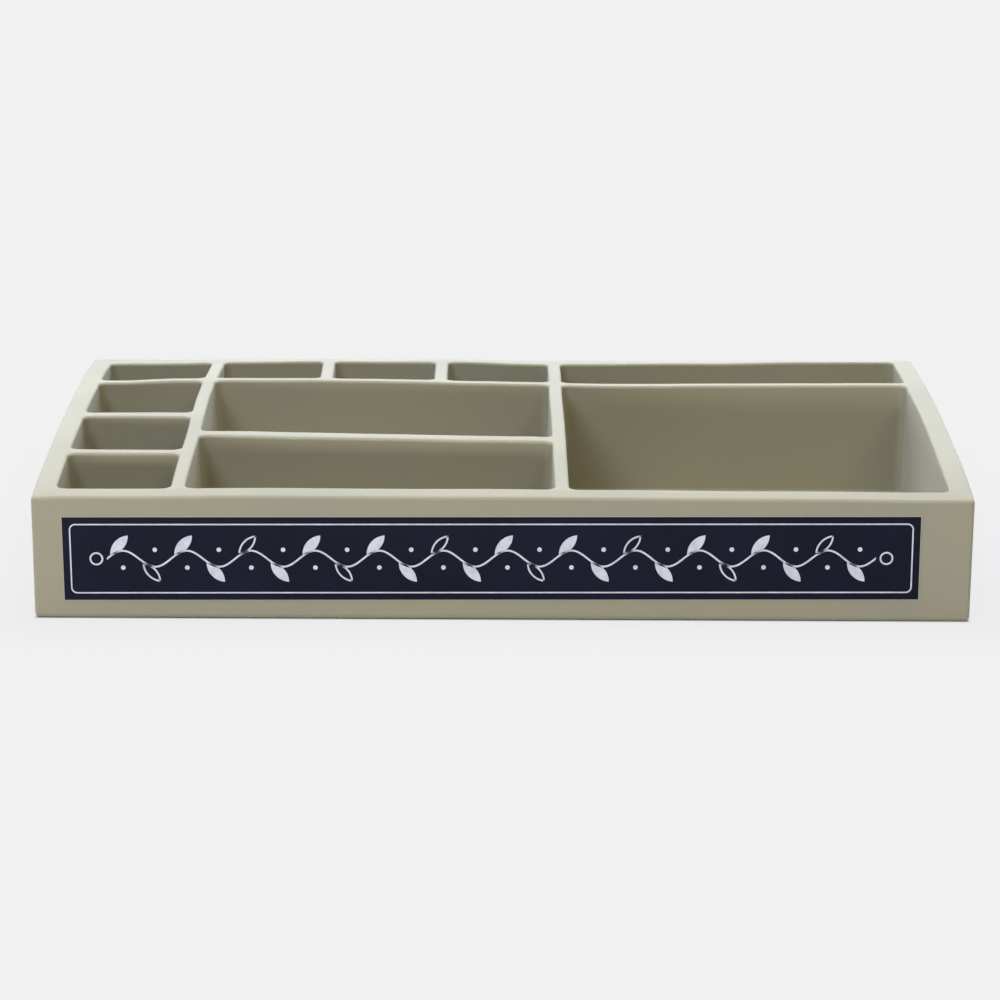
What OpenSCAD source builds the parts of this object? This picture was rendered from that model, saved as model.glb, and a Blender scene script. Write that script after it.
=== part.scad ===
// Vanity organizer: one moulded tray with a crowned rim and eleven compartments,
// a printed label on its front face and four anti-slip pads let into its underside.

/* [Compartments] */
// Width of each small cell at the rim
cell_w = 36.4; // [28:0.1:50]
// Width of the wide right-hand compartment at the rim
wide_w = 122; // [80:0.5:160]
// Depth of the front cell of the left column
front_cell_d = 31.8; // [24:0.1:50]
// Depth of the second cell of the left column
second_cell_d = 37.4; // [24:0.1:50]
// Depth of the third cell of the left column
third_cell_d = 41.8; // [24:0.1:50]
// Depth of the rear row of cells
rear_row_d = 34.2; // [20:0.1:50]
// Depth of the nearer middle compartment at its left end
near_middle_d = 52.1; // [40:0.1:60]
// How much nearer the front the middle divider lies at its right end
middle_skew = 5.9; // [0:0.1:10]
// Number of small cells beside the wide compartment in the rear row
rear_cells = 4; // [2:1:6]
// Thickness of the dividers at the rim
divider_t = 4.6; // [3.5:0.1:8]

/* [Tray] */
// Thickness of the front and rear walls at the rim
outer_wall = 7; // [4.5:0.1:12]
// Thickness of the left and right walls at the rim
side_wall = 7.4; // [4.5:0.1:12]
// Height of the front and rear rims above the underside
rim_h = 40.9; // [38.5:0.1:60]
// Rise of the rim at half depth
crown_rise = 3.8; // [1:0.1:8]
// Thickness of the floor
floor_t = 4; // [2.5:0.1:8]
// Radius of the four upright outer corners
corner_r = 1.2; // [0.8:0.1:7]
// Radius of the easing around the underside
base_round_r = 2; // [1.6:0.1:12]
// Height of the easing around the underside
base_round_h = 1.6; // [0.6:0.1:1.6]

/* [Moulded edges] */
// Radius of the upright corners inside each compartment, at the rim
pocket_corner_r = 3; // [2:0.1:5]
// Radius between each compartment's walls and its floor
floor_fillet_r = 2; // [0.8:0.1:3]
// How much each compartment wall leans in from rim to floor
pocket_draft = 0.6; // [0.2:0.1:1.2]
// Radius of every edge along the rim
rim_edge_r = 1; // [0.4:0.1:1.4]

/* [Front label] */
// Width of the label
label_w = 274.5; // [150:0.5:280]
// Height of the label
label_h = 28.2; // [12:0.1:29.4]
// Thickness of the label film
label_t = 0.2; // [0.1:0.05:0.4]
// Distance of the label's middle to the left of the tray's middle
label_shift = 3.6; // [0:0.1:6]
// Height of the label's middle above the underside
label_z = 20.4; // [19.8:0.1:21]
// Degrees by which the label is stuck on askew, right end up
label_tilt = 0.3; // [0:0.1:0.6]

/* [Anti-slip pads] */
// Diameter of each pad
pad_d = 14; // [8:0.5:20]
// Thickness of each pad
pad_t = 1.6; // [1.2:0.1:2]
// Depth of the recess that each pad sits in
pad_recess = 1.2; // [0.6:0.1:1.2]
// Gap between a pad's edge and its recess
pad_gap = 0.3; // [0.2:0.05:0.6]
// Width of the bevel around each pad's lower edge
pad_bevel = 0.25; // [0.1:0.05:0.3]
// Distance of each pad's middle from the nearest side and end of the tray
pad_inset = 20; // [14:0.5:40]

/* [Hidden] */

soft_taupe = [0.66, 0.64, 0.55];
label_navy = [0.07, 0.07, 0.14];
pad_grey = [0.28, 0.28, 0.27];

// Overrun of cuts past the faces that they leave
overrun = 1;
// Height by which a rim easing passes the crowned surface before it turns upright
escape_rise = 0.1;
// Longest straight step along a side that follows the crown
crown_step = 18;

// Steps in the corners and easings, and the angle at which an easing meets the rim
corner_steps = 6;
easing_steps = 4;
easing_end = 75;
// Smallest corner radius, as a share of the radius at the rim
least_corner_share = 0.1;

cell_pitch = cell_w + divider_t;
rear_cells_w = rear_cells * cell_pitch;
tray_w = side_wall + rear_cells_w + wide_w + side_wall;
second_y = outer_wall + front_cell_d + divider_t;
third_y = second_y + second_cell_d + divider_t;
rear_y = third_y + third_cell_d + divider_t;
tray_d = rear_y + rear_row_d + outer_wall;

// The crown is an arc through the front and rear rims, risen at half depth
crown_r = (pow(tray_d / 2, 2) + pow(crown_rise, 2)) / (2 * crown_rise);
crown_axis_z = rim_h + crown_rise - crown_r;
crown_top = rim_h + crown_rise;
function rim_z(y) = crown_axis_z + sqrt(pow(crown_r, 2) - pow(y - tray_d / 2, 2));

// The pads stand proud of the underside and carry the tray
base_z = pad_t - pad_recess;

// Four corners in plan: left x, right x, front y at left and right, rear y at left and right
outer_plan = [0, tray_w, 0, 0, tray_d, tray_d];
function cell(x, w, y, d) = [x, x + w, y, y, y + d, y + d];
middle_x = side_wall + cell_pitch;
middle_end = side_wall + rear_cells_w - divider_t;
wide_x = side_wall + rear_cells_w;
near_left_y = outer_wall + near_middle_d;
near_right_y = near_left_y - middle_skew;
pockets = [
    cell(side_wall, cell_w, outer_wall, front_cell_d),
    cell(side_wall, cell_w, second_y, second_cell_d),
    cell(side_wall, cell_w, third_y, third_cell_d),
    each [for (i = [0 : rear_cells - 1]) cell(side_wall + i * cell_pitch, cell_w, rear_y, rear_row_d)],
    cell(wide_x, wide_w, rear_y, rear_row_d),
    [middle_x, middle_end, outer_wall, outer_wall, near_left_y, near_right_y],
    [middle_x, middle_end, near_left_y + divider_t, near_right_y + divider_t,
     rear_y - divider_t, rear_y - divider_t],
    cell(wide_x, wide_w, outer_wall, rear_y - divider_t - outer_wall),
];

// Points of a quarter round corner, counter-clockwise
function quarter(centre, r, from) =
    [for (i = [0 : corner_steps]) let (a = from + 90 * i / corner_steps)
        centre + r * [cos(a), sin(a)]];

// Points between two ends, without the ends
function between(a, b, steps) = [for (i = [1 : 1 : steps - 1]) a + (b - a) * i / steps];

// Outline of a plan with rounded corners, moved inwards by inset
function outline(plan, inset, rim_corner_r) =
    let (r = max(rim_corner_r - inset, rim_corner_r * least_corner_share),
         x0 = plan[0] + inset, x1 = plan[1] - inset,
         steps = ceil((plan[5] - plan[3]) / crown_step),
         front_right = quarter([x1 - r, plan[3] + inset + r], r, -90),
         rear_right = quarter([x1 - r, plan[5] - inset - r], r, 0),
         rear_left = quarter([x0 + r, plan[4] - inset - r], r, 90),
         front_left = quarter([x0 + r, plan[2] + inset + r], r, 180))
    [each front_right, each between(front_right[corner_steps], rear_right[0], steps),
     each rear_right, each rear_left,
     each between(rear_left[corner_steps], front_left[0], steps), each front_left];

// A level ring of points, and one that follows the crowned rim at a given drop below it
function level_ring(plan, inset, r, z) = [for (q = outline(plan, inset, r)) [q.x, q.y, z]];
function rim_ring(plan, inset, r, drop) =
    [for (q = outline(plan, inset, r)) [q.x, q.y, rim_z(q.y) - drop]];

// Rings of the eased rim edge; side is 1 where the edge turns inwards and -1 where it turns outwards
function rim_rings(plan, r, side) =
    let (last = rim_edge_r * (1 - cos(easing_end)),
         drop = rim_edge_r * (1 - sin(easing_end)),
         run = (drop + escape_rise) * tan(easing_end))
    [for (i = [0 : easing_steps]) let (a = easing_end * i / easing_steps)
        rim_ring(plan, side * rim_edge_r * (1 - cos(a)), r, rim_edge_r * (1 - sin(a))),
     rim_ring(plan, side * (last + run), r, -escape_rise),
     level_ring(plan, side * (last + run), r, crown_top + overrun)];

// Rings of a compartment: floor fillet, leaning wall and eased rim
function pocket_rings(plan) = [
    each [for (i = [0 : easing_steps]) let (a = 90 * i / easing_steps)
        level_ring(plan, pocket_draft + floor_fillet_r * (1 - sin(a)), pocket_corner_r,
                   floor_t + floor_fillet_r * (1 - cos(a)))],
    each rim_rings(plan, pocket_corner_r, -1)];

// Rings of the outer form: eased underside, upright wall and eased rim
base_angle = asin(base_round_h / base_round_r);
outer_rings = [
    each [for (i = [0 : easing_steps]) let (a = base_angle * (1 - i / easing_steps))
        level_ring(outer_plan, base_round_r * (1 - cos(a)), corner_r,
                   base_round_h - base_round_r * sin(a))],
    each rim_rings(outer_plan, corner_r, 1)];

// A closed solid through rings with equal counts of points
module loft(rings) {
    n = len(rings[0]);
    top = len(rings) - 1;
    polyhedron(
        points = [for (ring = rings) each ring],
        faces = [
            [for (i = [0 : n - 1]) i],
            [for (i = [n - 1 : -1 : 0]) top * n + i],
            for (k = [0 : top - 1]) for (i = [0 : n - 1]) let (j = (i + 1) % n)
                each [[k * n + i, (k + 1) * n + i, (k + 1) * n + j],
                      [k * n + i, (k + 1) * n + j, k * n + j]]]);
}

// Moves the tray's own corner to the frame, whose origin is under the middle
module in_frame(z) {
    translate([-tray_w / 2, (label_t - tray_d) / 2, z]) children();
}

// The arched surface that the whole rim follows
module crown() {
    translate([-overrun, tray_d / 2, crown_axis_z]) rotate([0, 90, 0])
        cylinder(r = crown_r, h = tray_w + 2 * overrun, $fn = 1440);
}

pad_x = [pad_inset, tray_w - pad_inset];
pad_y = [pad_inset, tray_d - pad_inset];

module tray_body() {
    color(soft_taupe) in_frame(base_z) difference() {
        intersection() {
            loft(outer_rings);
            crown();
        }
        for (plan = pockets) loft(pocket_rings(plan));
        for (x = pad_x, y = pad_y) translate([x, y, -overrun])
            cylinder(d = pad_d + 2 * pad_gap, h = pad_recess + overrun, $fn = 64);
    }
}

module front_label() {
    color(label_navy) in_frame(base_z)
        translate([tray_w / 2 - label_shift, 0, label_z]) rotate([90, -label_tilt, 0])
            linear_extrude(label_t) square([label_w, label_h], center = true);
}

// A round pad with a bevelled lower edge, seated in its recess
module foot(x, y) {
    pad_r = pad_d / 2;
    color(pad_grey) in_frame(0) translate([x, y, 0])
        rotate_extrude($fn = 64) polygon([[0, 0], [pad_r - pad_bevel, 0], [pad_r, pad_bevel],
                                         [pad_r, pad_t], [0, pad_t]]);
}

module foot_front_left() { foot(pad_x[0], pad_y[0]); }
module foot_front_right() { foot(pad_x[1], pad_y[0]); }
module foot_rear_left() { foot(pad_x[0], pad_y[1]); }
module foot_rear_right() { foot(pad_x[1], pad_y[1]); }

tray_body();
front_label();
foot_front_left();
foot_front_right();
foot_rear_left();
foot_rear_right();
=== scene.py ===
# %% [markdown]
# This lesson dresses a vanity organizer: a low tray with eleven compartments, moulded in one piece, with
# a dark printed label stuck on its front face and four rubber pads let into its underside. The imported CAD
# solids are loaded first and never moved. Everything made here is in metres and in the same place, and the
# box of the whole model is kept now.

# %% Load the imported tray
import math

import bmesh
import bpy
from mathutils import Matrix, Vector, noise


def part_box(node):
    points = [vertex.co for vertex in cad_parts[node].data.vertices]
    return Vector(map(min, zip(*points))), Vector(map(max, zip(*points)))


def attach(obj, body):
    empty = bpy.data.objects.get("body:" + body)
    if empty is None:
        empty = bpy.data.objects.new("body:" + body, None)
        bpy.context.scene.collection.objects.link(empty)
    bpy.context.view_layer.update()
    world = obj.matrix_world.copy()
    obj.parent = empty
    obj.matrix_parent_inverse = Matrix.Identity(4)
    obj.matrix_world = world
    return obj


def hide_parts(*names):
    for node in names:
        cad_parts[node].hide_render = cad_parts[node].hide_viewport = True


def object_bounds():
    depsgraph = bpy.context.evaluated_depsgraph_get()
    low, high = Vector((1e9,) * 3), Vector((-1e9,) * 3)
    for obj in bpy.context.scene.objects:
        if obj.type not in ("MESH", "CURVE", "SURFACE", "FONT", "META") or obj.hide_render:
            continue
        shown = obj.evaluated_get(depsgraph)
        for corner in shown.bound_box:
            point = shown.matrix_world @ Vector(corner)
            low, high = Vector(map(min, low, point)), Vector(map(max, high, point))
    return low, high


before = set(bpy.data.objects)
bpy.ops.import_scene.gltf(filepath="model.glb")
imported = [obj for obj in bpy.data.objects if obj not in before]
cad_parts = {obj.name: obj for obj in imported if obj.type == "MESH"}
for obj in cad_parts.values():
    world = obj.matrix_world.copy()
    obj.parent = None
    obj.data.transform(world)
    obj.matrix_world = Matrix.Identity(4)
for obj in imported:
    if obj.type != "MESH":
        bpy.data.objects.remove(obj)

cad_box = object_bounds()
MM = 0.001
scene = bpy.context.scene
print("nodes:", sorted(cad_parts))

# %% [markdown]
# The photograph was taken with a long lens from about a metre away, looking down by about 17 degrees. A
# camera is described by three directions: its right, its up and the way it looks. They are worked out here
# from a pitch, a yaw and a roll, in radians, around the middle of the front rim, which is easier to correct
# than a matrix.

# %% Camera
RIM_MIDDLE = Vector((0, -86.4, 41.3)) * MM
PITCH = 0.2979
YAW = 0.0022
ROLL = 0.0052
DISTANCE = 1050.06 * MM
ASIDE = -0.953 * MM
ABOVE = -0.8921 * MM
FOCAL_LENGTH = 118.8
SENSOR_WIDTH = 36

look = Vector((0, math.cos(PITCH), -math.sin(PITCH)))
right = Vector((1, 0, 0))
up = Vector((0, math.sin(PITCH), math.cos(PITCH)))
offset = ASIDE * right + ABOVE * up - DISTANCE * look
turn = Matrix.Rotation(-YAW, 3, "Z")
rolled_right = turn @ (math.cos(ROLL) * right + math.sin(ROLL) * up)
rolled_up = turn @ (math.cos(ROLL) * up - math.sin(ROLL) * right)
axes = Matrix((rolled_right, rolled_up, -(turn @ look))).transposed()

camera_data = bpy.data.cameras.new("camera")
camera_data.lens = FOCAL_LENGTH
camera_data.sensor_width = SENSOR_WIDTH
camera = bpy.data.objects.new("camera", camera_data)
camera.matrix_world = Matrix.Translation(RIM_MIDDLE + turn @ offset) @ axes.to_4x4()
scene.collection.objects.link(camera)
scene.camera = camera
scene.view_settings.view_transform = "Standard"
print("camera at", [round(c, 3) for c in camera.matrix_world.translation])

# %% [markdown]
# Materials are small networks of nodes, and every network here is wired in the same few ways. These
# helpers add a node with its settings, join two sockets, calculate, make a smooth mask, mix two colours by a
# mask, and start a new material.

# %% Node helpers
def add_node(tree, kind, inputs=None, **settings):
    """Adds a node, sets its properties and fills its input sockets by name or number."""
    node = tree.nodes.new(kind)
    for name, value in settings.items():
        setattr(node, name, value)
    for socket, value in (inputs or {}).items():
        node.inputs[socket].default_value = value
    return node


def join(tree, output, target):
    """Joins an output socket to an input socket."""
    tree.links.new(output, target)


def calculate(tree, operation, first, second=None):
    """One Math node; each side is a number or a socket."""
    node = add_node(tree, "ShaderNodeMath", operation=operation)
    for socket, value in zip(node.inputs, (first, second)):
        if isinstance(value, bpy.types.NodeSocket):
            join(tree, value, socket)
        elif value is not None:
            socket.default_value = value
    return node.outputs[0]


def ramp(tree, value, low, high):
    """A smooth mask that rises from 0 at low to 1 at high."""
    node = add_node(tree, "ShaderNodeMapRange", interpolation_type="SMOOTHSTEP",
                    inputs={"From Min": low, "From Max": high})
    join(tree, value, node.inputs["Value"])
    return node.outputs["Result"]


def mix_colours(tree, mask, first, second):
    """Mixes two colours, each a socket or a tuple, by a mask."""
    node = add_node(tree, "ShaderNodeMix", data_type="RGBA")
    join(tree, mask, node.inputs["Factor"])
    for name, value in (("A", first), ("B", second)):
        socket = next(s for s in node.inputs if s.name == name and s.type == "RGBA")
        if isinstance(value, bpy.types.NodeSocket):
            join(tree, value, socket)
        else:
            socket.default_value = (*value, 1)
    return next(s for s in node.outputs if s.type == "RGBA")


def new_material(name):
    """An empty material with its Principled shader, and its node tree."""
    material = bpy.data.materials.new(name)
    material.use_nodes = True
    return material, material.node_tree, material.node_tree.nodes["Principled BSDF"]


# %% [markdown]
# The tray stands on a seamless pale sweep. A big flat floor is enough, because its far part and the world
# behind it have one colour, so no horizon shows. It lies a hair under the pads, so that no two faces share
# a plane.

# %% Floor
FLOOR_HALF = 4.0
FLOOR_GAP = 0.02 * MM

floor_mesh = bpy.data.meshes.new("floor")
bm = bmesh.new()
bmesh.ops.create_grid(bm, x_segments=1, y_segments=1, size=FLOOR_HALF,
                      matrix=Matrix.Translation((0, 0, -FLOOR_GAP)))
bm.to_mesh(floor_mesh)
bm.free()
floor = bpy.data.objects.new("floor", floor_mesh)
scene.collection.objects.link(floor)
print("floor", FLOOR_HALF * 2, "m wide")

# %% [markdown]
# The real sweep was lit so evenly that the tray throws only a breath of shadow. The floor's material
# therefore mixes its true shading with a flat tone for the camera, and the share of true shading, which
# carries the shadow, fades with the distance from the tray. Under the tray the shading is all true, so a
# thin dark line shows where the tray meets the table. Seen from below, the floor has the flat tone alone.
# Its shaded part is darker for the camera than for the light that bounces off it onto the tray.

# %% Floor material
SWEEP_TONE = (0.879, 0.879, 0.879)
FLOOR_BOUNCE = (0.66, 0.66, 0.66)
FLOOR_SEEN = (0.46, 0.46, 0.46)
SHADOW_SHARE = 0.10
SHADOW_REACH = 0.035
CONTACT_LINE = (-0.0012, 0.0008)

sweep, tree, shader = new_material("pale_sweep")
tree.nodes.remove(shader)
sweep_output = tree.nodes["Material Output"]
light_path = add_node(tree, "ShaderNodeLightPath")
diffuse = add_node(tree, "ShaderNodeBsdfDiffuse")
floor_colour = mix_colours(tree, light_path.outputs["Is Camera Ray"], FLOOR_BOUNCE, FLOOR_SEEN)
join(tree, floor_colour, diffuse.inputs[0])
flat_tone = add_node(tree, "ShaderNodeEmission", {"Color": (*SWEEP_TONE, 1)})
place = add_node(tree, "ShaderNodeSeparateXYZ")
join(tree, add_node(tree, "ShaderNodeTexCoord").outputs["Object"], place.inputs[0])
beyond = [calculate(tree, "SUBTRACT", calculate(tree, "ABSOLUTE", place.outputs[axis]), half)
          for axis, half in (("X", cad_box[1].x), ("Y", cad_box[1].y))]
outside = calculate(tree, "MAXIMUM", *beyond)
fade = ramp(tree, outside, 0, SHADOW_REACH)
flatness = calculate(tree, "ADD", calculate(tree, "MULTIPLY", fade, SHADOW_SHARE), 1 - SHADOW_SHARE)
flatness = calculate(tree, "MULTIPLY", flatness, ramp(tree, outside, *CONTACT_LINE))
from_below = add_node(tree, "ShaderNodeNewGeometry").outputs["Backfacing"]
flatness = calculate(tree, "MAXIMUM", flatness, from_below)
seen = calculate(tree, "MULTIPLY", flatness, light_path.outputs["Is Camera Ray"])
sweep_mix = add_node(tree, "ShaderNodeMixShader")
join(tree, seen, sweep_mix.inputs[0])
join(tree, diffuse.outputs[0], sweep_mix.inputs[1])
join(tree, flat_tone.outputs[0], sweep_mix.inputs[2])
join(tree, sweep_mix.outputs[0], sweep_output.inputs["Surface"])
floor_mesh.materials.append(sweep)
print("the shadow fades over", SHADOW_REACH, "m")

# %% [markdown]
# The world around the scene does two jobs. It gives a breath of cool light from all sides, and behind the
# tray it has to show the sweep's own tone. Light Path tells them apart: the camera and glossy reflections
# see the tone, and all other rays get the faint light.

# %% World
WORLD_LIGHT = (0.94, 1.0, 1.08)
WORLD_LEVEL = 0.02
world = bpy.data.worlds.new("studio")
world.use_nodes = True
scene.world = world
tree = world.node_tree
tree.nodes.clear()
light_path = add_node(tree, "ShaderNodeLightPath")
around = add_node(tree, "ShaderNodeBackground", {"Color": (*WORLD_LIGHT, 1), "Strength": WORLD_LEVEL})
behind = add_node(tree, "ShaderNodeBackground", {"Color": (*SWEEP_TONE, 1), "Strength": 1})
choose = add_node(tree, "ShaderNodeMixShader")
world_output = add_node(tree, "ShaderNodeOutputWorld")
seen = calculate(tree, "MAXIMUM", light_path.outputs["Is Camera Ray"], light_path.outputs["Is Glossy Ray"])
join(tree, seen, choose.inputs[0])
join(tree, around.outputs[0], choose.inputs[1])
join(tree, behind.outputs[0], choose.inputs[2])
join(tree, choose.outputs[0], world_output.inputs["Surface"])
print("world level", WORLD_LEVEL)

# %% [markdown]
# The photograph tells where its light came from. The level rims are nearly as bright as the background, so
# a lamp hangs overhead and the white sweep behind the tray shines at it. The left corners of the back walls
# are in shade and the walls that face left are the brightest, so a key lamp stands high at the front left. A
# weaker one stands high on the right. A last one stands so low before the tray that the front rim keeps its
# light out of the compartments. It lights the front face evenly down to the table. Each lamp has an azimuth,
# counted from the front towards the right, and an elevation.

# %% Lamps
TRAY_MIDDLE = Vector((0, 0, 0.03))


def area_lamp(name, azimuth, elevation, distance, width, depth, power, colour):
    """A soft rectangular lamp aimed at the tray. Angles are in degrees, sizes in metres, power in watts."""
    turn_by = math.radians(azimuth)
    rise_by = math.radians(elevation)
    flat = distance * math.cos(rise_by)
    place = TRAY_MIDDLE + Vector((flat * math.sin(turn_by), -flat * math.cos(turn_by),
                                  distance * math.sin(rise_by)))
    data = bpy.data.lights.new(name, "AREA")
    data.shape = "RECTANGLE"
    data.size = width
    data.size_y = depth
    data.energy = power
    data.color = colour
    lamp = bpy.data.objects.new(name, data)
    lamp.location = place
    lamp.rotation_euler = (TRAY_MIDDLE - place).to_track_quat("-Z", "Y").to_euler()
    lamp.visible_camera = False
    scene.collection.objects.link(lamp)
    print(name, "at", [round(c, 2) for c in place], "with", power, "W")


area_lamp("sweep_glow", azimuth=180, elevation=28, distance=2.3, width=2.6, depth=2.2,
          power=71, colour=(0.90, 1.0, 1.14))
area_lamp("overhead", azimuth=0, elevation=90, distance=1.3, width=0.6, depth=0.6,
          power=7.2, colour=(0.96, 1.0, 1.10))
area_lamp("key_left", azimuth=-50, elevation=55, distance=1.3, width=0.5, depth=0.5,
          power=7.8, colour=(0.90, 1.0, 1.17))
area_lamp("fill_right", azimuth=56, elevation=55, distance=1.3, width=0.5, depth=0.5,
          power=3.2, colour=(1.04, 1.0, 0.68))
area_lamp("front_fill", azimuth=-16, elevation=1.5, distance=1.3, width=1.2, depth=0.12,
          power=4.25, colour=(1.03, 1.0, 0.94))

# %% [markdown]
# Every surface here is matt and a little uneven in the same ways: faint clouding of the colour, a sandy
# grain, and a few specks of dust and dark pits. One shader group makes them all as plain masks, and each
# material picks its own scales and strengths. Noise gives the clouding and the grain, and the specks are the
# middles of Voronoi cells, of which only those whose random value passes a threshold are kept.

# %% Surface detail group
CLOUD_RANGE = (0.32, 0.68)
SPECKS = (("Dust", 1.0, 0.85), ("Pits", 0.62, 0.88))


def build_surface_group():
    """Node group: masks for clouds, grain, pale specks and dark pits, from the Object position."""
    group = bpy.data.node_groups.new("moulded_surface", "ShaderNodeTree")
    for name in ("Cloud Scale", "Grain Scale", "Speck Scale", "Speck Size"):
        group.interface.new_socket(name, in_out="INPUT", socket_type="NodeSocketFloat")
    for name in ("Cloud", "Grain", "Dust", "Pits"):
        group.interface.new_socket(name, in_out="OUTPUT", socket_type="NodeSocketFloat")
    inside = add_node(group, "NodeGroupInput")
    outside = add_node(group, "NodeGroupOutput")
    position = add_node(group, "ShaderNodeTexCoord").outputs["Object"]

    clouds = add_node(group, "ShaderNodeTexNoise", {"Detail": 4, "Roughness": 0.55})
    join(group, position, clouds.inputs["Vector"])
    join(group, inside.outputs["Cloud Scale"], clouds.inputs["Scale"])
    join(group, ramp(group, clouds.outputs["Fac"], *CLOUD_RANGE), outside.inputs["Cloud"])

    grain = add_node(group, "ShaderNodeTexNoise", {"Detail": 3, "Roughness": 0.6})
    join(group, position, grain.inputs["Vector"])
    join(group, inside.outputs["Grain Scale"], grain.inputs["Scale"])
    join(group, grain.outputs["Fac"], outside.inputs["Grain"])

    for name, stretch, threshold in SPECKS:
        cells = add_node(group, "ShaderNodeTexVoronoi", {"Randomness": 1})
        join(group, position, cells.inputs["Vector"])
        scale = calculate(group, "MULTIPLY", inside.outputs["Speck Scale"], stretch)
        join(group, scale, cells.inputs["Scale"])
        pick = add_node(group, "ShaderNodeSeparateColor")
        join(group, cells.outputs["Color"], pick.inputs[0])
        chosen = calculate(group, "GREATER_THAN", pick.outputs[0], threshold)
        radius = calculate(group, "MULTIPLY", inside.outputs["Speck Size"], pick.outputs[1])
        dot = calculate(group, "LESS_THAN", cells.outputs["Distance"], radius)
        join(group, calculate(group, "MULTIPLY", dot, chosen), outside.inputs[name])
    return group


surface_group = build_surface_group()


def place_surface(tree, cloud_scale, grain_scale, speck_scale, speck_size):
    """Places the shared group in a material with that material's own scales."""
    node = add_node(tree, "ShaderNodeGroup", node_tree=surface_group)
    values = (cloud_scale, grain_scale, speck_scale, speck_size)
    for socket, value in zip(node.inputs, values):
        socket.default_value = value
    return node.outputs


def raise_bump(tree, shader, height, distance):
    """Feeds a height through a Bump node into the shader's normal."""
    bump = add_node(tree, "ShaderNodeBump", {"Strength": 1, "Distance": distance})
    join(tree, height, bump.inputs["Height"])
    join(tree, bump.outputs["Normal"], shader.inputs["Normal"])


print("group sockets:", [item.name for item in surface_group.interface.items_tree])

# %% [markdown]
# The tray is a warm grey resin with a soft-touch coat: quite matt, with a powdery bloom where it is seen
# at a low angle. The bloom is the shader's sheen. The colour drifts a little between a greyer and a
# warmer taupe, because a flat colour looks like a computer's plastic.

# %% Tray material
TAUPE_WARM = (0.404, 0.362, 0.250)
TAUPE_GREY = (0.389, 0.357, 0.260)
DUST_TONE = (0.72, 0.70, 0.63)
PIT_TONE = (0.16, 0.14, 0.10)
TAUPE_ROUGHNESS = 0.58
ROUGHNESS_DRIFT = 0.06

taupe, tree, shader = new_material("soft_touch_taupe")
surface = place_surface(tree, cloud_scale=22, grain_scale=1500, speck_scale=110, speck_size=0.028)
colour = mix_colours(tree, surface["Cloud"], TAUPE_WARM, TAUPE_GREY)
colour = mix_colours(tree, surface["Dust"], colour, DUST_TONE)
colour = mix_colours(tree, surface["Pits"], colour, PIT_TONE)
join(tree, colour, shader.inputs["Base Color"])
roughness = calculate(tree, "MULTIPLY_ADD", surface["Cloud"], ROUGHNESS_DRIFT)
roughness.node.inputs[2].default_value = TAUPE_ROUGHNESS
join(tree, roughness, shader.inputs["Roughness"])
shader.inputs["Specular IOR Level"].default_value = 0.25
shader.inputs["Sheen Weight"].default_value = 0.2
shader.inputs["Sheen Roughness"].default_value = 0.45
raise_bump(tree, shader, surface["Grain"], distance=0.02 * MM)
print("tray material", taupe.name)

# %% [markdown]
# The tray's plan repeats the sizes of the CAD solid, in millimetres. Its left column has four cells, and
# its rear row three more and a long slot. The wide compartment and the two middle ones fill the rest. Each
# plan is four corners, counter-clockwise from the front left, because the divider between the middle
# compartments runs at a slant.

# %% Plan of the tray
TRAY_W = 300.8
TRAY_D = 173.0
OUTER_WALL = 7.0
SIDE_WALL = 7.4
DIVIDER = 4.6
CELL_W = 36.4
WIDE_W = 122.0
LEFT_DEPTHS = (31.8, 37.4, 41.8)
REAR_CELLS = 4
REAR_DEPTH = 34.2
NEAR_DEPTH = 52.1
SLANT = 5.9
RIM_H = 40.9
BASE_Z = 0.4
FRONT_Y = -86.4


def plan(x, width, front, depth):
    """Four corners of a rectangular compartment."""
    return [(x, front), (x + width, front), (x + width, front + depth), (x, front + depth)]


PITCH_X = CELL_W + DIVIDER
plans = []
y = OUTER_WALL
for depth in LEFT_DEPTHS:
    plans.append(plan(SIDE_WALL, CELL_W, y, depth))
    y += depth + DIVIDER
REAR_Y = y
for index in range(REAR_CELLS):
    plans.append(plan(SIDE_WALL + index * PITCH_X, CELL_W, REAR_Y, REAR_DEPTH))
WIDE_X = SIDE_WALL + REAR_CELLS * PITCH_X
plans.append(plan(WIDE_X, WIDE_W, REAR_Y, REAR_DEPTH))
plans.append(plan(WIDE_X, WIDE_W, OUTER_WALL, REAR_Y - DIVIDER - OUTER_WALL))
LEFT_X = SIDE_WALL + PITCH_X
RIGHT_X = WIDE_X - DIVIDER
NEAR_Y = OUTER_WALL + NEAR_DEPTH
FAR_Y = REAR_Y - DIVIDER
CELL_DIVIDER_Y = FAR_Y - LEFT_DEPTHS[2] - DIVIDER / 2
plans.append([(LEFT_X, OUTER_WALL), (RIGHT_X, OUTER_WALL), (RIGHT_X, NEAR_Y - SLANT), (LEFT_X, NEAR_Y)])
slant_left = (LEFT_X, NEAR_Y + DIVIDER)
slant_right = (RIGHT_X, NEAR_Y - SLANT + DIVIDER)
plans.append([slant_left, slant_right, (RIGHT_X, FAR_Y), (LEFT_X, FAR_Y)])


def in_frame(x, y, z):
    """A point of the tray's own plan, in millimetres, moved to the frame, in metres."""
    return Vector((x - TRAY_W / 2, y + FRONT_Y, z + BASE_Z)) * MM


print(len(plans), "compartments, rear row starts at", round(REAR_Y, 1), "mm")

# %% [markdown]
# The mould's soft edges are all made the same way: a flat face is inset a little and moved a little, again
# and again, along a quarter circle. An inset ring is better here than a bevel, because the ring count and
# the radius are the same all round, whatever the shape of the outline.

# %% Helpers for eased edges
FACING = 0.9


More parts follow.
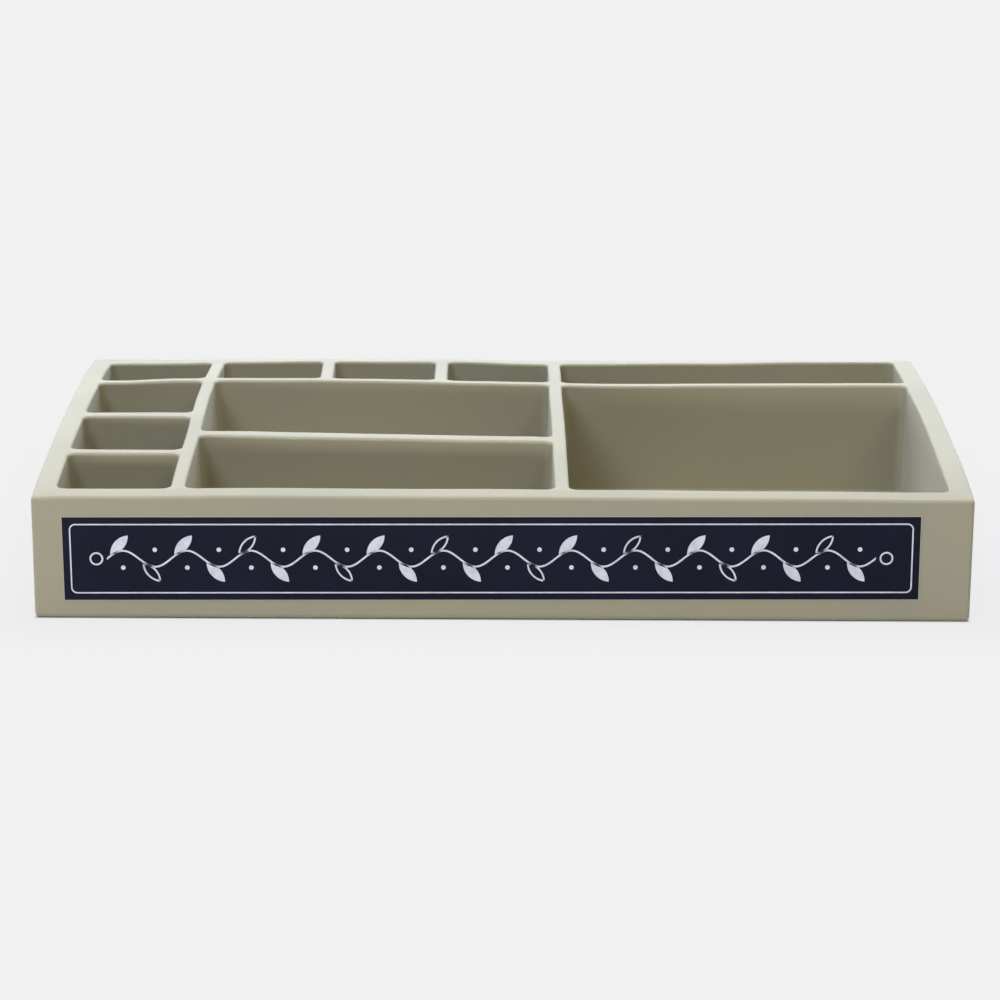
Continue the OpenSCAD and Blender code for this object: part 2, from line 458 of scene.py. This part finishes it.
def step_in(bm, face, inset, rise):
    """Insets a face by one ring and moves its middle along its normal. Both are in millimetres."""
    before = set(bm.faces)
    ring = bmesh.ops.inset_region(bm, faces=[face], thickness=inset * MM, depth=rise * MM,
                                  use_even_offset=True, use_boundary=True)["faces"]
    before.update(ring)
    return next((f for f in bm.faces if f not in before), face)


def follow_profile(bm, face, profile):
    """Steps a face in along a profile of (inset, rise) points, in millimetres from the first."""
    for (inset_a, rise_a), (inset_b, rise_b) in zip(profile, profile[1:]):
        face = step_in(bm, face, inset_b - inset_a, rise_b - rise_a)
    return face


def arc_points(radius, start, end, steps, centre=(0, 0)):
    """Points of an arc, as (inset, rise); angles in degrees, 0 along the inset."""
    angles = [math.radians(start + (end - start) * i / steps) for i in range(steps + 1)]
    return [(centre[0] + radius * math.cos(a), centre[1] + radius * math.sin(a)) for a in angles]


def face_towards(bm, direction):
    """The largest face that looks in a direction."""
    facing = [f for f in bm.faces if f.normal.dot(Vector(direction)) > FACING]
    return max(facing, key=lambda f: f.calc_area())


# %% [markdown]
# The outer form starts as a block with its four upright edges bevelled, only a little, because the real
# corners are nearly sharp. Its top is eased by 1 mm. The underside is eased twice as far, so the tray
# meets the table along a thin dark line.

# %% Outer form of the tray
CORNER_R = 1.2
RIM_EDGE_R = 1.0
BASE_ROUND_R = 2.0
BASE_ROUND_H = 1.6
EDGE_STEPS = 5
OUTER_CORNER_STEPS = 8
UPRIGHT_LENGTH = 10.0

tray = bmesh.new()
bmesh.ops.create_cube(tray, size=1)
block_low = BASE_ROUND_H
block_high = RIM_H - RIM_EDGE_R
bmesh.ops.scale(tray, vec=Vector((TRAY_W, TRAY_D, block_high - block_low)) * MM, verts=tray.verts)
block_middle = in_frame(TRAY_W / 2, TRAY_D / 2, (block_low + block_high) / 2)
bmesh.ops.translate(tray, vec=block_middle, verts=tray.verts)
upright = [e for e in tray.edges if abs(e.verts[0].co.z - e.verts[1].co.z) > UPRIGHT_LENGTH * MM]
bmesh.ops.bevel(tray, geom=upright, offset=CORNER_R * MM, offset_type="OFFSET",
                segments=OUTER_CORNER_STEPS, profile=0.5, affect="EDGES", clamp_overlap=True, material=-1)
top = follow_profile(tray, face_towards(tray, (0, 0, 1)),
                     [(-i, r) for i, r in arc_points(RIM_EDGE_R, 0, 90, EDGE_STEPS)])
base_angle = math.degrees(math.asin(BASE_ROUND_H / BASE_ROUND_R))
underside = follow_profile(tray, face_towards(tray, (0, 0, -1)),
                           [(-i, r) for i, r in arc_points(BASE_ROUND_R, 0, base_angle, EDGE_STEPS)])
print("outer form:", len(tray.faces), "faces, easing below turns by", round(base_angle, 1), "degrees")

# %% [markdown]
# The rim is one plate with eleven rounded holes. The block's top face is taken away, the outline of each
# compartment is laid in as a face with its corners bevelled, and the plate between the outlines is filled.
# The outlines lie one edge radius outside the walls, so that the easing ends on the walls.

# %% Rim plate with eleven openings
POCKET_CORNER_R = 3.0
CORNER_STEPS = 7


def rounded_face(bm, corners, radius):
    """A flat face through four corners, rounded in plan."""
    others = set(bm.faces)
    verts = [bm.verts.new(corner) for corner in corners]
    bm.faces.new(verts)
    bmesh.ops.bevel(bm, geom=verts, offset=radius * MM, offset_type="OFFSET", segments=CORNER_STEPS,
                    profile=0.5, affect="VERTICES", clamp_overlap=True, material=-1)
    return next(f for f in bm.faces if f not in others)


outline = list(top.edges)
bmesh.ops.delete(tray, geom=[top], context="FACES_ONLY")
SIGNS = ((-1, -1), (1, -1), (1, 1), (-1, 1))
openings = []
for corners in plans:
    rim_corners = [in_frame(x + sx * RIM_EDGE_R, y + sy * RIM_EDGE_R, RIM_H)
                   for (x, y), (sx, sy) in zip(corners, SIGNS)]
    openings.append(rounded_face(tray, rim_corners, POCKET_CORNER_R + RIM_EDGE_R))
for opening in openings:
    outline += list(opening.edges)
bmesh.ops.triangle_fill(tray, use_beauty=True, use_dissolve=False, edges=outline, normal=(0, 0, 1))
print("rim plate filled,", len(tray.faces), "faces so far")

# %% [markdown]
# Each compartment is pressed down from its outline: over the eased edge, down a wall that leans in by
# 0.6 mm so that the mould could be drawn, and round a 2 mm fillet to the floor. The wall gets rings on
# the way down, because it will be made slightly uneven later.

# %% Press the compartments
FLOOR_T = 4.0
FLOOR_FILLET_R = 2.0
DRAFT = 0.6
WALL_STEPS = 6
FILLET_STEPS = 5

easing = arc_points(RIM_EDGE_R, 90, 0, EDGE_STEPS, (0, -RIM_EDGE_R))
wall_top = -RIM_EDGE_R
wall_foot = FLOOR_T + FLOOR_FILLET_R - RIM_H
wall = [(RIM_EDGE_R + DRAFT * k / WALL_STEPS, wall_top + (wall_foot - wall_top) * k / WALL_STEPS)
        for k in range(1, WALL_STEPS + 1)]
fillet_centre = (RIM_EDGE_R + DRAFT + FLOOR_FILLET_R, wall_foot)
fillet = arc_points(FLOOR_FILLET_R, 180, 270, FILLET_STEPS, fillet_centre)[1:]
for opening in openings:
    follow_profile(tray, opening, easing + wall + fillet)
print("compartments pressed,", len(tray.faces), "faces so far")

# %% [markdown]
# The underside can't be seen in the photograph. Round pads in shallow recesses are what trays of this kind
# have, and the CAD model has them. Each recess is a circle let into the bottom plate, with its edge eased
# by 0.3 mm.

# %% Recesses for the pads
RECESS_DEPTH = 1.2
RECESS_R = 7.3
RECESS_EDGE = 0.3
RECESS_DRAFT = 0.05
RECESS_STEPS = 48
RECESS_EDGE_STEPS = 3
PAD_INSET = 20.0

bottom_outline = list(underside.edges)
bmesh.ops.delete(tray, geom=[underside], context="FACES_ONLY")
recesses = []
for x in (PAD_INSET, TRAY_W - PAD_INSET):
    for y in (PAD_INSET, TRAY_D - PAD_INSET):
        others = set(tray.faces)
        bmesh.ops.create_circle(tray, cap_ends=True, segments=RECESS_STEPS,
                                radius=(RECESS_R + RECESS_EDGE) * MM,
                                matrix=Matrix.Translation(in_frame(x, y, 0)))
        recess = next(f for f in tray.faces if f not in others)
        recess.normal_update()
        if recess.normal.z > 0:
            recess.normal_flip()
        recesses.append(recess)
        bottom_outline += list(recess.edges)
bmesh.ops.triangle_fill(tray, use_beauty=True, use_dissolve=False, edges=bottom_outline,
                        normal=(0, 0, -1))
recess_profile = arc_points(RECESS_EDGE, 90, 0, RECESS_EDGE_STEPS, (0, -RECESS_EDGE))
recess_profile.append((RECESS_EDGE + RECESS_DRAFT, -RECESS_DEPTH))
for recess in recesses:
    follow_profile(tray, recess, recess_profile)
print("recesses:", len(recesses), "and the tray has", len(tray.faces), "faces")

# %% [markdown]
# The rim isn't flat: seen from the side it rises in a shallow arch from the front and rear to the middle.
# A flat plate can't bend where it has no points, so the whole tray is first sliced at many even places. The
# slices start a little off the middle, away from the dividers' own corners, and edges shorter than a sliver
# are dissolved after it. Every point will then be lifted by the arch's rise at its place, from nothing at
# the foot of the compartment walls to all of it at the rim.

# %% Slice the tray
SLICE = 8.0
SLICE_START = 0.37
CUT_TOLERANCE = 1e-7
SLIVER = 0.002
CROWN_RISE = 3.8
CROWN_R = ((TRAY_D / 2) ** 2 + CROWN_RISE ** 2) / (2 * CROWN_RISE)


def slice_tray(bm, axis, length):
    """Cuts the whole mesh with evenly spaced planes across one axis."""
    normal = Vector((0, 0, 0))
    normal[axis] = 1
    count = int(length / 2 / SLICE)
    middle = in_frame(TRAY_W / 2, TRAY_D / 2, 0)
    for k in range(-count, count + 1):
        place = middle + normal * (k + SLICE_START) * SLICE * MM
        bmesh.ops.bisect_plane(bm, geom=bm.verts[:] + bm.edges[:] + bm.faces[:], dist=CUT_TOLERANCE,
                               plane_co=place, plane_no=normal)


def clamp(value):
    """The value, kept between 0 and 1."""
    return min(max(value, 0), 1)


def smooth_share(value, low, high):
    """0 below low, 1 above high and a smooth step between them."""
    share = clamp((value - low) / (high - low))
    return share * share * (3 - 2 * share)


def arch(y):
    """Height of the arched rim above its front edge at a distance from the front, in millimetres."""
    return CROWN_RISE - CROWN_R + math.sqrt(CROWN_R ** 2 - (y - TRAY_D / 2) ** 2)


slice_tray(tray, 0, TRAY_W)
slice_tray(tray, 1, TRAY_D)
bmesh.ops.dissolve_degenerate(tray, dist=SLIVER * MM, edges=tray.edges)
print("sliced:", len(tray.verts), "points, arch rises", round(arch(TRAY_D / 2), 2), "mm")

# %% [markdown]
# A cast tray is never quite true. In the photograph the divider in front of the rear row bows back and
# rises on the left and sags on the right, the rear rim does the opposite at its ends, and no edge is
# ruler-straight. The bows are short lists of (distance from the left, shift), read between by a smooth
# curve, and a gentle noise moves the inner walls. The slanting divider is thicker than the others, and so,
# a little, is the one behind the second cell, so their front and rear faces each have a bow of their own.
# The left face is a little hollow, the front and left rims roll off at their outer edges, and the front's
# lower edge hangs by a third of a millimetre, which is less than the pads lift the tray. The other outer
# faces stay true, so the tray keeps its size.

# %% Bows and unevenness
REAR_DIVIDER_BOW = ((14, -0.7), (35, 2.6), (57, 4.5), (78, 5.1), (100, 3.7), (121, 3.0), (140, 1.2),
                    (160, -0.1), (185, -2.0), (202, -2.0), (230, -0.8), (260, -0.3), (284, 1.2))
REAR_RIM_BOW = ((10, -4.0), (22, -3.2), (54, -0.4), (95, 0.9), (135, 1.2), (160, -1.8), (186, -1.1),
                (223, 0.3), (260, 3.0), (290, 3.8))
FRONT_RIM_RISE = ((0, -0.28), (10, -0.22), (76, 0.28), (150, 0.22), (229, 0.0), (286, -0.18), (300, -0.24))
SLANT_FRONT_BOW = ((66, 0), (83, -0.6), (100, -0.5), (132, -0.7), (150, -0.1), (171, 0))
SLANT_REAR_BOW = ((46, 0), (56, 1.6), (66, 2.0), (83, 1.7), (100, 1.15), (124, 1.1), (150, 1.4), (160, 1.6),
                  (171, 0))
CELL_FRONT_BOW = ((2, 0), (9, -1.0), (42, -1.0), (47, 0))
CELL_REAR_BOW = ((2, 0), (9, -0.3), (20, 0), (38, 0.5), (47, 0))
SWELL_FLAT = 6.0
SWELL_REACH = 24.0
BOW_IN_PLAN = 0.45
BOW_IN_HEIGHT = 0.13
TRUE_EDGE = (2.0, 6.0)
DIVIDER_REACH = 9.0
REAR_RIM_REACH = 18.0
FRONT_RIM_REACH = 30.0
INNER_SHIFT = 0.15
LEFT_HOLLOW = 0.45
LEFT_REACH = 8.0
FRONT_DROOP = ((0, 0.30), (150, 0.28), (300, 0.38))
DROOP_REACH = 12.0
DROOP_HEIGHT = 6.0
ROLL_OFF = 0.35
ROLL_REACH = 6.0
WAVE_LENGTH = 42.0
WALL_WAVE = 0.45
RIM_WAVE = 0.25
WAVE_SEEDS = {"x": 0.3, "y": 8.1, "rim": 3.7}
WALL_FOOT = FLOOR_T + FLOOR_FILLET_R
WALL_TOP = RIM_H - RIM_EDGE_R
TOP_LIMIT = RIM_H + CROWN_RISE


def read_bow(points, x):
    """A bow's shift at a distance from the tray's left side."""
    if x <= points[0][0]:
        return points[0][1]
    for (x0, shift0), (x1, shift1) in zip(points, points[1:]):
        if x <= x1:
            return shift0 + (shift1 - shift0) * smooth_share(x, x0, x1)
    return points[-1][1]


def wave(x, y, z, seed):
    """Gentle noise from -1 to 1."""
    return noise.noise(Vector((x / WAVE_LENGTH + seed, y / WAVE_LENGTH, z / WAVE_LENGTH)))


def swell(x, y, middle_y, front_bow, rear_bow):
    """Shift towards the rear beside a divider whose front and rear faces bow apart."""
    share = clamp((y - middle_y) / DIVIDER + 0.5)
    shift = (1 - share) * read_bow(front_bow, x) + share * read_bow(rear_bow, x)
    return shift * (1 - smooth_share(abs(y - middle_y), SWELL_FLAT, SWELL_REACH))


print("bows are read at", len(REAR_DIVIDER_BOW), "places along the divider before the rear row")

# %% [markdown]
# All of it comes together in one function that takes a point of the straight tray to its place in the real
# one. Its terms are named for what they do. What belongs to the rim fades towards the floor, and what moves
# the inner walls fades towards the outer faces.

# %% Arch, bow and wave the tray
def settle(point):
    """The place of a point of the tray after arching, bowing and waving, in the tray's millimetres."""
    x, y, z = point
    at_rim = clamp((z - WALL_FOOT) / (WALL_TOP - WALL_FOOT))
    inner = smooth_share(min(x, TRAY_W - x, y, TRAY_D - y), *TRUE_EDGE)
    divider = math.exp(-((y - REAR_Y + DIVIDER / 2) / DIVIDER_REACH) ** 2) * read_bow(REAR_DIVIDER_BOW, x)
    rear_end = TRAY_D - OUTER_WALL
    rear = smooth_share(y, rear_end - REAR_RIM_REACH, rear_end) * read_bow(REAR_RIM_BOW, x)
    front = smooth_share(y, FRONT_RIM_REACH, 0) * read_bow(FRONT_RIM_RISE, x)
    hollow = LEFT_HOLLOW * math.sin(math.pi * y / TRAY_D) * smooth_share(x, LEFT_REACH, 0)
    droop = read_bow(FRONT_DROOP, x) * smooth_share(y, DROOP_REACH, 0) * smooth_share(z, DROOP_HEIGHT, 0)
    left_roll = smooth_share(x, ROLL_REACH, 0) * smooth_share(y, TRAY_D, 0)
    front -= ROLL_OFF * (smooth_share(y, ROLL_REACH, 0) + left_roll)
    sway = (divider + rear) * BOW_IN_PLAN * inner * at_rim
    lift = (divider + rear) * BOW_IN_HEIGHT + front + RIM_WAVE * wave(x, y, 0, WAVE_SEEDS["rim"])
    new_x = x + (INNER_SHIFT + WALL_WAVE * wave(x, y, z, WAVE_SEEDS["x"])) * inner + hollow
    slant_y = NEAR_Y + DIVIDER / 2 - SLANT * (x - LEFT_X) / (RIGHT_X - LEFT_X)
    swelling = (swell(x, y, slant_y, SLANT_FRONT_BOW, SLANT_REAR_BOW)
                + swell(x, y, CELL_DIVIDER_Y, CELL_FRONT_BOW, CELL_REAR_BOW))
    new_y = y + WALL_WAVE * wave(x, y, z, WAVE_SEEDS["y"]) * inner + sway + swelling
    new_z = z + (arch(min(max(y, 0), TRAY_D)) + lift) * at_rim - droop
    return new_x, new_y, min(new_z, TOP_LIMIT)


for vert in tray.verts:
    own = vert.co / MM - Vector((-TRAY_W / 2, FRONT_Y, BASE_Z))
    vert.co = in_frame(*settle(own))
tray.normal_update()
heights = [v.co.z / MM for v in tray.verts]
print("tray from", round(min(heights), 2), "to", round(max(heights), 2), "mm high")

# %% [markdown]
# A mesh becomes a piece of the model when it has an object, a material and a body to ride on. The tray
# then takes the place of the CAD solid. Its faces are shaded smooth, and a Weighted Normal modifier keeps
# the broad faces flat beside their small eased edges.

# %% Make the tray a piece
def make_piece(name, bm, material, replaced=None, smooth=True):
    """Turns a bmesh into a finished piece on the body, in place of a CAD solid where one is named."""
    mesh = bpy.data.meshes.new(name)
    bm.to_mesh(mesh)
    bm.free()
    mesh.materials.append(material)
    piece = bpy.data.objects.new(name, mesh)
    scene.collection.objects.link(piece)
    if smooth:
        mesh.shade_smooth()
        modifier = piece.modifiers.new("even_shading", "WEIGHTED_NORMAL")
        modifier.mode = "FACE_AREA_WITH_ANGLE"
    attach(piece, "root")
    if replaced:
        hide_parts(replaced)
    print(name, "has", len(mesh.polygons), "faces")


make_piece("moulded_tray", tray, taupe, "tray_body")

# %% [markdown]
# The label is a thin plastic film, printed dark navy and cut square, stuck on slightly askew with its right
# end up. It is a flat plate with its corners barely rounded and its thickness extruded. Its cut edge gets a
# hair of painted highlight in its colour. Its width and height repeat the CAD solid's. Its back and the
# front of the ink on it come from that solid's own box.

# %% Label film
LABEL_W = 274.5
LABEL_H = 28.2
LABEL_TILT = math.radians(0.3)
LABEL_MIDDLE_X = -3.6
LABEL_MIDDLE_Z = 20.8
FILM_T = 0.17
INK_T = 0.03
FILM_CORNER = 0.4
label_low, label_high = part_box("front_label")
FILM_BACK = label_high.y
INK_FRONT = label_low.y

LABEL_PLACE = (Matrix.Translation((LABEL_MIDDLE_X * MM, FILM_BACK, LABEL_MIDDLE_Z * MM))
               @ Matrix.Rotation(-LABEL_TILT, 4, "Y") @ Matrix.Rotation(math.radians(90), 4, "X"))


def thicken(bm, thickness):
    """Extrudes a flat sheet upwards into a closed plate, in millimetres."""
    base = list(bm.faces)
    moved = bmesh.ops.extrude_face_region(bm, geom=base)["geom"]
    lifted = [g for g in moved if isinstance(g, bmesh.types.BMVert)]
    bmesh.ops.translate(bm, vec=(0, 0, thickness * MM), verts=lifted)
    bmesh.ops.reverse_faces(bm, faces=[f for f in base if f.is_valid and f.normal.z > 0])
    bmesh.ops.recalc_face_normals(bm, faces=bm.faces)


film = bmesh.new()
half_w = LABEL_W / 2 * MM
half_h = LABEL_H / 2 * MM
rounded_face(film, [Vector((sx * half_w, sy * half_h, 0)) for sx, sy in SIGNS], FILM_CORNER)
thicken(film, FILM_T)
film.transform(LABEL_PLACE)
print("film front at", round(min(v.co.y for v in film.verts) / MM, 3), "mm")

# %% [markdown]
# The film's colour is a very dark navy with a satin gloss. A hair's width along its edge is painted pale, as
# a painted highlight on the cut edge. The mask for that painted highlight measures how far a point is from
# the label's middle, in a position turned by the same small angle as the label.

# %% Film material
NAVY = (0.0040, 0.0046, 0.0160)
NAVY_WORN = (0.0062, 0.0070, 0.0205)
# A painted highlight: the pale tone of a hair along the film's cut edge.
EDGE_HIGHLIGHT_TONE = (0.50, 0.48, 0.41)
EDGE_HIGHLIGHT_WIDTH = 0.2

navy_film, tree, shader = new_material("navy_film")
surface = place_surface(tree, cloud_scale=30, grain_scale=900, speck_scale=70, speck_size=0.02)
position = add_node(tree, "ShaderNodeTexCoord").outputs["Object"]
straight = add_node(tree, "ShaderNodeMapping", vector_type="TEXTURE",
                    inputs={"Location": (LABEL_MIDDLE_X * MM, 0, LABEL_MIDDLE_Z * MM),
                            "Rotation": (0, -LABEL_TILT, 0)})
join(tree, position, straight.inputs["Vector"])
parts = add_node(tree, "ShaderNodeSeparateXYZ")
join(tree, straight.outputs[0], parts.inputs[0])
edge_x = calculate(tree, "GREATER_THAN", calculate(tree, "ABSOLUTE", parts.outputs["X"]),
                   half_w - EDGE_HIGHLIGHT_WIDTH * MM)
edge_z = calculate(tree, "GREATER_THAN", calculate(tree, "ABSOLUTE", parts.outputs["Z"]),
                   half_h - EDGE_HIGHLIGHT_WIDTH * MM)
# Mask of the painted highlight along the label's edge.
edge_highlight = calculate(tree, "MAXIMUM", edge_x, edge_z)
colour = mix_colours(tree, surface["Cloud"], NAVY, NAVY_WORN)
colour = mix_colours(tree, surface["Dust"], colour, DUST_TONE)
colour = mix_colours(tree, edge_highlight, colour, EDGE_HIGHLIGHT_TONE)
join(tree, colour, shader.inputs["Base Color"])
shader.inputs["Roughness"].default_value = 0.42
shader.inputs["Specular IOR Level"].default_value = 0.12
raise_bump(tree, shader, surface["Cloud"], distance=0.02 * MM)
make_piece("label_film", film, navy_film, "front_label", smooth=False)

# %% [markdown]
# The ink is a cool white. It lies thinner in places, where it lets a little of the dark film through, so two
# pale tones are mixed by fine clouds. Its surface is a little rougher than the film's.

# %% Ink material
INK_PALE = (0.78, 0.79, 0.86)
INK_THIN = (0.66, 0.67, 0.76)
pale_ink, tree, shader = new_material("pale_ink")
surface = place_surface(tree, cloud_scale=400, grain_scale=2500, speck_scale=200, speck_size=0.02)
join(tree, mix_colours(tree, surface["Cloud"], INK_PALE, INK_THIN), shader.inputs["Base Color"])
shader.inputs["Roughness"].default_value = 0.5
raise_bump(tree, shader, surface["Grain"], distance=0.004 * MM)
print("ink", pale_ink.name)

# %% [markdown]
# The print is a plain border with a running vine: one fine wavy stem, a leaf at each bend, every third one
# in outline, and small dots. All of it is drawn flat around the label's middle, in millimetres, as thin
# faces, then extruded to a layer of ink. A pointed leaf is the part of a disc beyond a chord, mirrored over
# that chord.

# %% Helpers for the print
LEAF_STEPS = 160
SEAM_TOLERANCE = 1e-6


def disc(bm, x, y, radius, steps=20):
    """A flat round face."""
    others = set(bm.faces)
    bmesh.ops.create_circle(bm, cap_ends=True, segments=steps, radius=radius * MM,
                            matrix=Matrix.Translation((x * MM, y * MM, 0)))
    return next(f for f in bm.faces if f not in others)


def hollow_out(bm, face, stroke):
    """Leaves only a face's edge, as wide as the stroke."""
    middle = step_in(bm, face, stroke, 0)
    bmesh.ops.delete(bm, geom=[middle], context="FACES")


def merge_into(bm, other):
    """Adds another bmesh to this one and frees it."""
    mesh = bpy.data.meshes.new("spare")
    other.to_mesh(mesh)
    other.free()
    bm.from_mesh(mesh)
    bpy.data.meshes.remove(mesh)


def leaf(bm, x, y, length, width, angle, stroke=None):
    """A pointed leaf whose base is at x, y; an outline of a stroke, or solid."""
    sagitta = width / 2
    radius = (length ** 2 / 4 + sagitta ** 2) / (2 * sagitta)
    own = bmesh.new()
    bmesh.ops.create_circle(own, cap_ends=True, segments=LEAF_STEPS, radius=radius * MM,
                            matrix=Matrix.Translation((0, (sagitta - radius) * MM, 0)))
    bmesh.ops.bisect_plane(own, geom=own.verts[:] + own.edges[:] + own.faces[:], dist=CUT_TOLERANCE,
                           plane_co=(0, 0, 0), plane_no=(0, 1, 0), clear_inner=True)
    bmesh.ops.mirror(own, geom=own.verts[:] + own.edges[:] + own.faces[:], axis="Y",
                     merge_dist=SEAM_TOLERANCE)
    bmesh.ops.dissolve_faces(own, faces=own.faces[:])
    if stroke:
        hollow_out(own, own.faces[:][0], stroke)
    own.transform(Matrix.Translation((x * MM, y * MM, 0)) @ Matrix.Rotation(angle, 4, "Z")
                  @ Matrix.Translation((length / 2 * MM, 0, 0)))
    merge_into(bm, own)


def border(bm, width, height, corner, stroke):
    """A rounded rectangle drawn as a line."""
    corners = [Vector((sx * width / 2, sy * height / 2, 0)) * MM for sx, sy in SIGNS]
    hollow_out(bm, rounded_face(bm, corners, corner), stroke)


def stem(bm, length, height, wave_length, stroke, steps):
    """A wavy line of an even stroke."""
    own = bmesh.new()
    bmesh.ops.create_grid(own, x_segments=steps, y_segments=1, size=0.5)
    for vert in own.verts:
        side = 1 if vert.co.y > 0 else -1
        along = vert.co.x * length
        slope = height * 2 * math.pi / wave_length * math.cos(2 * math.pi * along / wave_length)
        half = stroke / 2 * math.sqrt(1 + slope ** 2)
        vert.co = Vector((along, height * math.sin(2 * math.pi * along / wave_length) + side * half, 0)) * MM
    merge_into(bm, own)


# %% [markdown]
# The pattern now has its places. The stem crosses the middle line every half wave, and each leaf grows from
# just past a crossing, up and down by turns. A dot fills each bend across from the leaf, and a small ring
# closes the stem at either end.

# %% Label print
BORDER_INSET = 2.4
BORDER_CORNER = 2.0
BORDER_STROKE = 0.45
STEM_LENGTH = 246.0
STEM_HEIGHT = 2.7
STEM_WAVE = 20.5
STEM_STROKE = 0.6
STEM_STEPS = 480
LEAF_LENGTH = 8.6
LEAF_WIDTH = 3.4
LEAF_LEAN = math.radians(48)
LEAF_AHEAD = 1.1
LEAF_OFFSET = 1.4
OUTLINED_EVERY = 3
OUTLINE_STROKE = 0.55
DOT_R = 0.75
DOT_OFFSET = 3.0
END_RING_R = 2.2
END_RING_GAP = 3.4
END_RING_STEPS = 32

ink = bmesh.new()
border(ink, LABEL_W - 2 * BORDER_INSET, LABEL_H - 2 * BORDER_INSET, BORDER_CORNER, BORDER_STROKE)
stem(ink, STEM_LENGTH, STEM_HEIGHT, STEM_WAVE, STEM_STROKE, STEM_STEPS)
bends = int(STEM_LENGTH / STEM_WAVE * 2)
for k in range(bends):
    crossing = (k - bends / 2) * STEM_WAVE / 2
    rising = 1 if (k - bends // 2) % 2 == 0 else -1
    leaf(ink, crossing + LEAF_AHEAD, rising * LEAF_OFFSET, LEAF_LENGTH, LEAF_WIDTH, rising * LEAF_LEAN,
         stroke=OUTLINE_STROKE if k % OUTLINED_EVERY == 1 else None)
    disc(ink, crossing + STEM_WAVE / 4, -rising * DOT_OFFSET, DOT_R)
for side in (-1, 1):
    ring = disc(ink, side * (STEM_LENGTH / 2 + END_RING_GAP), 0, END_RING_R, steps=END_RING_STEPS)
    hollow_out(ink, ring, OUTLINE_STROKE)
printed_area = sum(f.calc_area() for f in ink.faces) / MM ** 2
print("print covers", round(100 * printed_area / LABEL_W / LABEL_H, 1), "% of the label")
thicken(ink, INK_T)
ink.transform(Matrix.Translation((0, INK_FRONT - FILM_BACK + INK_T * MM, 0)) @ LABEL_PLACE)
make_piece("label_print", ink, pale_ink, smooth=False)

# %% [markdown]
# The four pads keep their CAD solids, because a plain moulded disc is what they are. They get a dark, dry
# rubber with a fine sandy grain, assigned to the CAD objects' own slots.

# %% Pads
RUBBER = (0.064, 0.064, 0.060)
RUBBER_DUSTY = (0.110, 0.108, 0.100)
rubber, tree, shader = new_material("matt_rubber")
surface = place_surface(tree, cloud_scale=260, grain_scale=2200, speck_scale=420, speck_size=0.05)
colour = mix_colours(tree, surface["Cloud"], RUBBER, RUBBER_DUSTY)
colour = mix_colours(tree, surface["Dust"], colour, DUST_TONE)
join(tree, colour, shader.inputs["Base Color"])
shader.inputs["Roughness"].default_value = 0.8
raise_bump(tree, shader, surface["Grain"], distance=0.05 * MM)
pads = [name for name in sorted(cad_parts) if name.startswith("foot_")]
for name in pads:
    pad_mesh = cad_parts[name].data
    pad_mesh.materials.clear()
    pad_mesh.materials.append(rubber)
print("pads:", pads)
